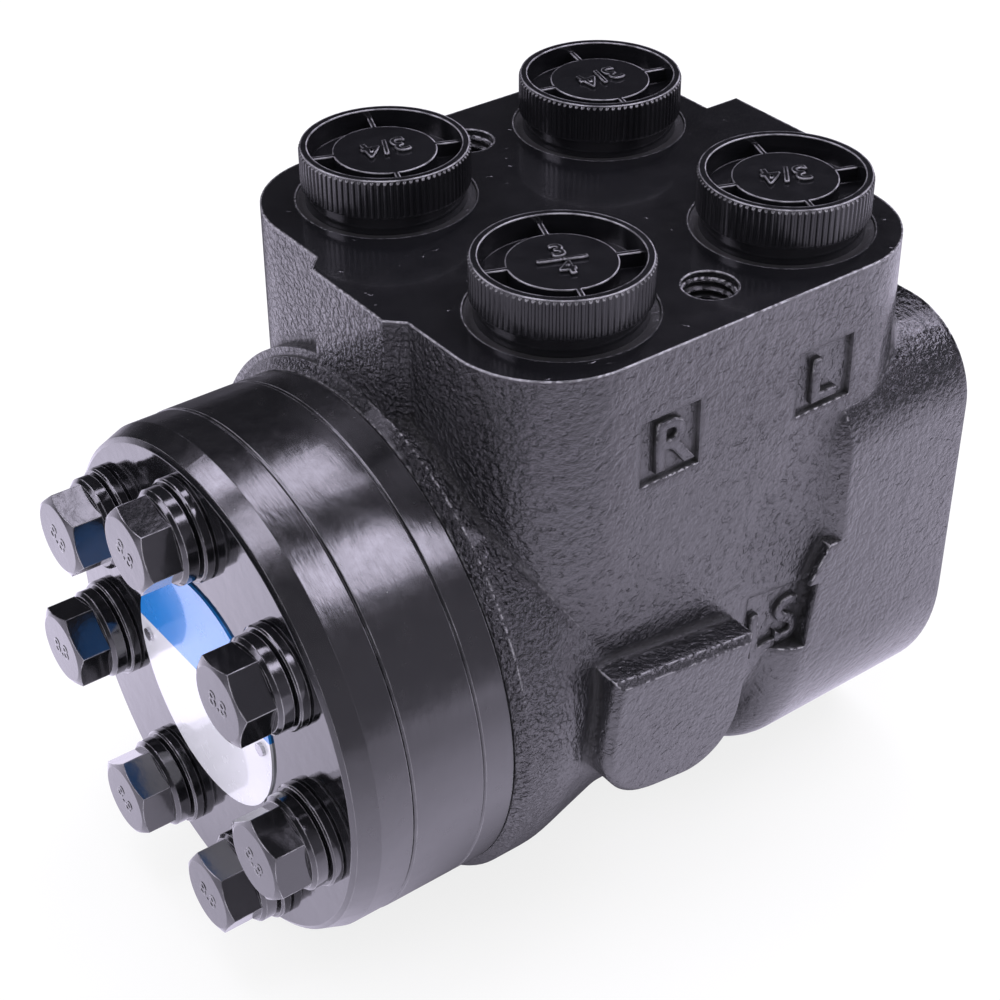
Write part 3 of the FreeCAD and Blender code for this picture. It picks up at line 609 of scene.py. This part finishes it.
def floor_material():
    """White to the eye but for the shadow; in reflections it glows, with a painted shadow under the
    object and painted light behind and to the right, and dims far off.
    """
    mat = bpy.data.materials.new("floor_white")
    t = Tree(mat)
    t.nodes.clear()
    place = t.add("TexCoord").outputs["Object"]
    x, y, _ = t.split(place)
    away = t.vector_calc("LENGTH", place)
    # Glow seen only in reflections: painted shadow close under the object, painted light on the far
    # side behind and to the right, dimming far off
    painted_shadow_under = t.ramp(away, 0.03, 0.08, 0.1, 1.12, smooth=True)
    middle = t.ramp(away, 0.08, 0.26, 1.0, 0.62, smooth=True)
    far = t.ramp(away, 0.26, 1.2, 1.0, 0.3, smooth=True)
    back = t.ramp(x, -0.06, 0.04, 1.9, 0.15, smooth=True)
    painted_light_far_side = t.ramp(y, 0.0, 0.13, 1.0, back, smooth=True)
    right = t.ramp(x, 0.08, 0.2, 1.0, 1.7, smooth=True)
    strength = t.product(t.product(painted_shadow_under, middle), t.product(far, painted_light_far_side), right)

    path = t.add("LightPath").outputs
    lit = t.add("BsdfDiffuse", Color=PALE).outputs[0]
    seen = t.add("Emission", Color=WHITE, Strength=1.0).outputs[0]
    mirrored = t.add("Emission", Color=COOL, Strength=strength).outputs[0]
    plain = t.either(t.product(path["Is Camera Ray"], SEEN_WHITE), lit, seen)
    surface = t.either(path["Is Glossy Ray"], plain, mirrored)
    t.add("OutputMaterial", Surface=surface)
    return mat


def make_floor():
    bpy.ops.mesh.primitive_plane_add(size=FLOOR_SIDE, location=(cad_low.x / 2, 0, FLOOR_Z))
    floor = bpy.context.object
    floor.name = "floor"
    floor.data.materials.append(floor_material())


def make_world():
    """White to the eye, even for matt surfaces, and dim in reflections but for the marked side."""
    world = bpy.data.worlds.new("studio")
    bpy.context.scene.world = world
    t = Tree(world)
    t.nodes.clear()
    _, y, z = t.split(t.add("TexCoord").outputs["Generated"])
    marked_side = t.ramp(y, -0.75, 0.1, 1.0, 0.07, smooth=True)
    low_down = t.ramp(z, 0.3, 0.7, 0.24, 0.14, smooth=True)

    path = t.add("LightPath").outputs
    white = t.add("Background", Color=WHITE, Strength=1.0).outputs[0]
    even = t.add("Background", Color=WHITE, Strength=1.1).outputs[0]
    room = t.add("Background", Color=COOL, Strength=t.product(marked_side, low_down)).outputs[0]
    matt = t.either(path["Is Glossy Ray"], even, room)
    t.add("OutputWorld", Surface=t.either(path["Is Camera Ray"], matt, white))


LAMP_DISTANCE = 0.9
MIDDLE = Vector(((cad_low.x + cad_high.x) / 2, 0, 0))

# Name, heading and height, the two sides as the object sees them, all in degrees; brightness
LAMPS = (
    ("key_front", -44, 55, 20, 20, 4.5),
    ("key_back", 34, 60, 20, 20, 3.8),
    ("left_back", 104, 57, 16, 16, 4.5),
    ("overhead", 170, 78, 20, 20, 3.5),
    ("left_low", 155, 32, 24, 10, 3.4),
    ("flange_top", -7, 47, 18, 16, 4),
)


def soft_box(name, heading, height, wide, high, brightness):
    """Rectangular soft light aimed at the middle of the object."""
    a, e = math.radians(heading), math.radians(height)
    way = Vector((math.cos(a) * math.cos(e), math.sin(a) * math.cos(e), math.sin(e)))
    light = bpy.data.lights.new(name, "AREA")
    light.shape = "RECTANGLE"
    light.size = 2 * LAMP_DISTANCE * math.tan(math.radians(wide / 2))
    light.size_y = 2 * LAMP_DISTANCE * math.tan(math.radians(high / 2))
    light.energy = brightness * math.pi * light.size * light.size_y
    light.color = COOL[:3]
    obj = bpy.data.objects.new(name, light)
    obj.location = MIDDLE + way * LAMP_DISTANCE
    obj.rotation_euler = (-way).to_track_quat("-Z", "Y").to_euler()
    bpy.context.scene.collection.objects.link(obj)


def make_camera():
    """The photograph's view: heading, height and roll in degrees, then metres."""
    heading, height, roll = -36.69, 35.78, -0.32
    away = 0.41322
    aside, above = 0.00768, -0.00720
    aimed_x = -63.68 * MM
    a, e, r = (math.radians(v) for v in (heading, height, roll))
    back = Vector((math.sin(a) * math.cos(e), -math.cos(a) * math.cos(e), math.sin(e)))
    right = Vector((math.cos(a), math.sin(a), 0))
    up = back.cross(right)
    right, up = (math.cos(r) * right + math.sin(r) * up, math.cos(r) * up - math.sin(r) * right)
    turn = Matrix((right, up, back)).transposed()
    spot = Vector((aimed_x, 0, 0)) - turn @ Vector((aside, above, -away))
    data = bpy.data.cameras.new("camera")
    data.sensor_width = 36
    data.lens = 74.24
    data.clip_start = 0.01
    camera = bpy.data.objects.new("camera", data)
    camera.matrix_world = Matrix.Translation(spot) @ turn.to_4x4()
    bpy.context.scene.collection.objects.link(camera)
    bpy.context.scene.camera = camera


make_floor()
make_world()
for lamp in LAMPS:
    soft_box(*lamp)
make_camera()
bpy.context.scene.view_settings.view_transform = "Standard"
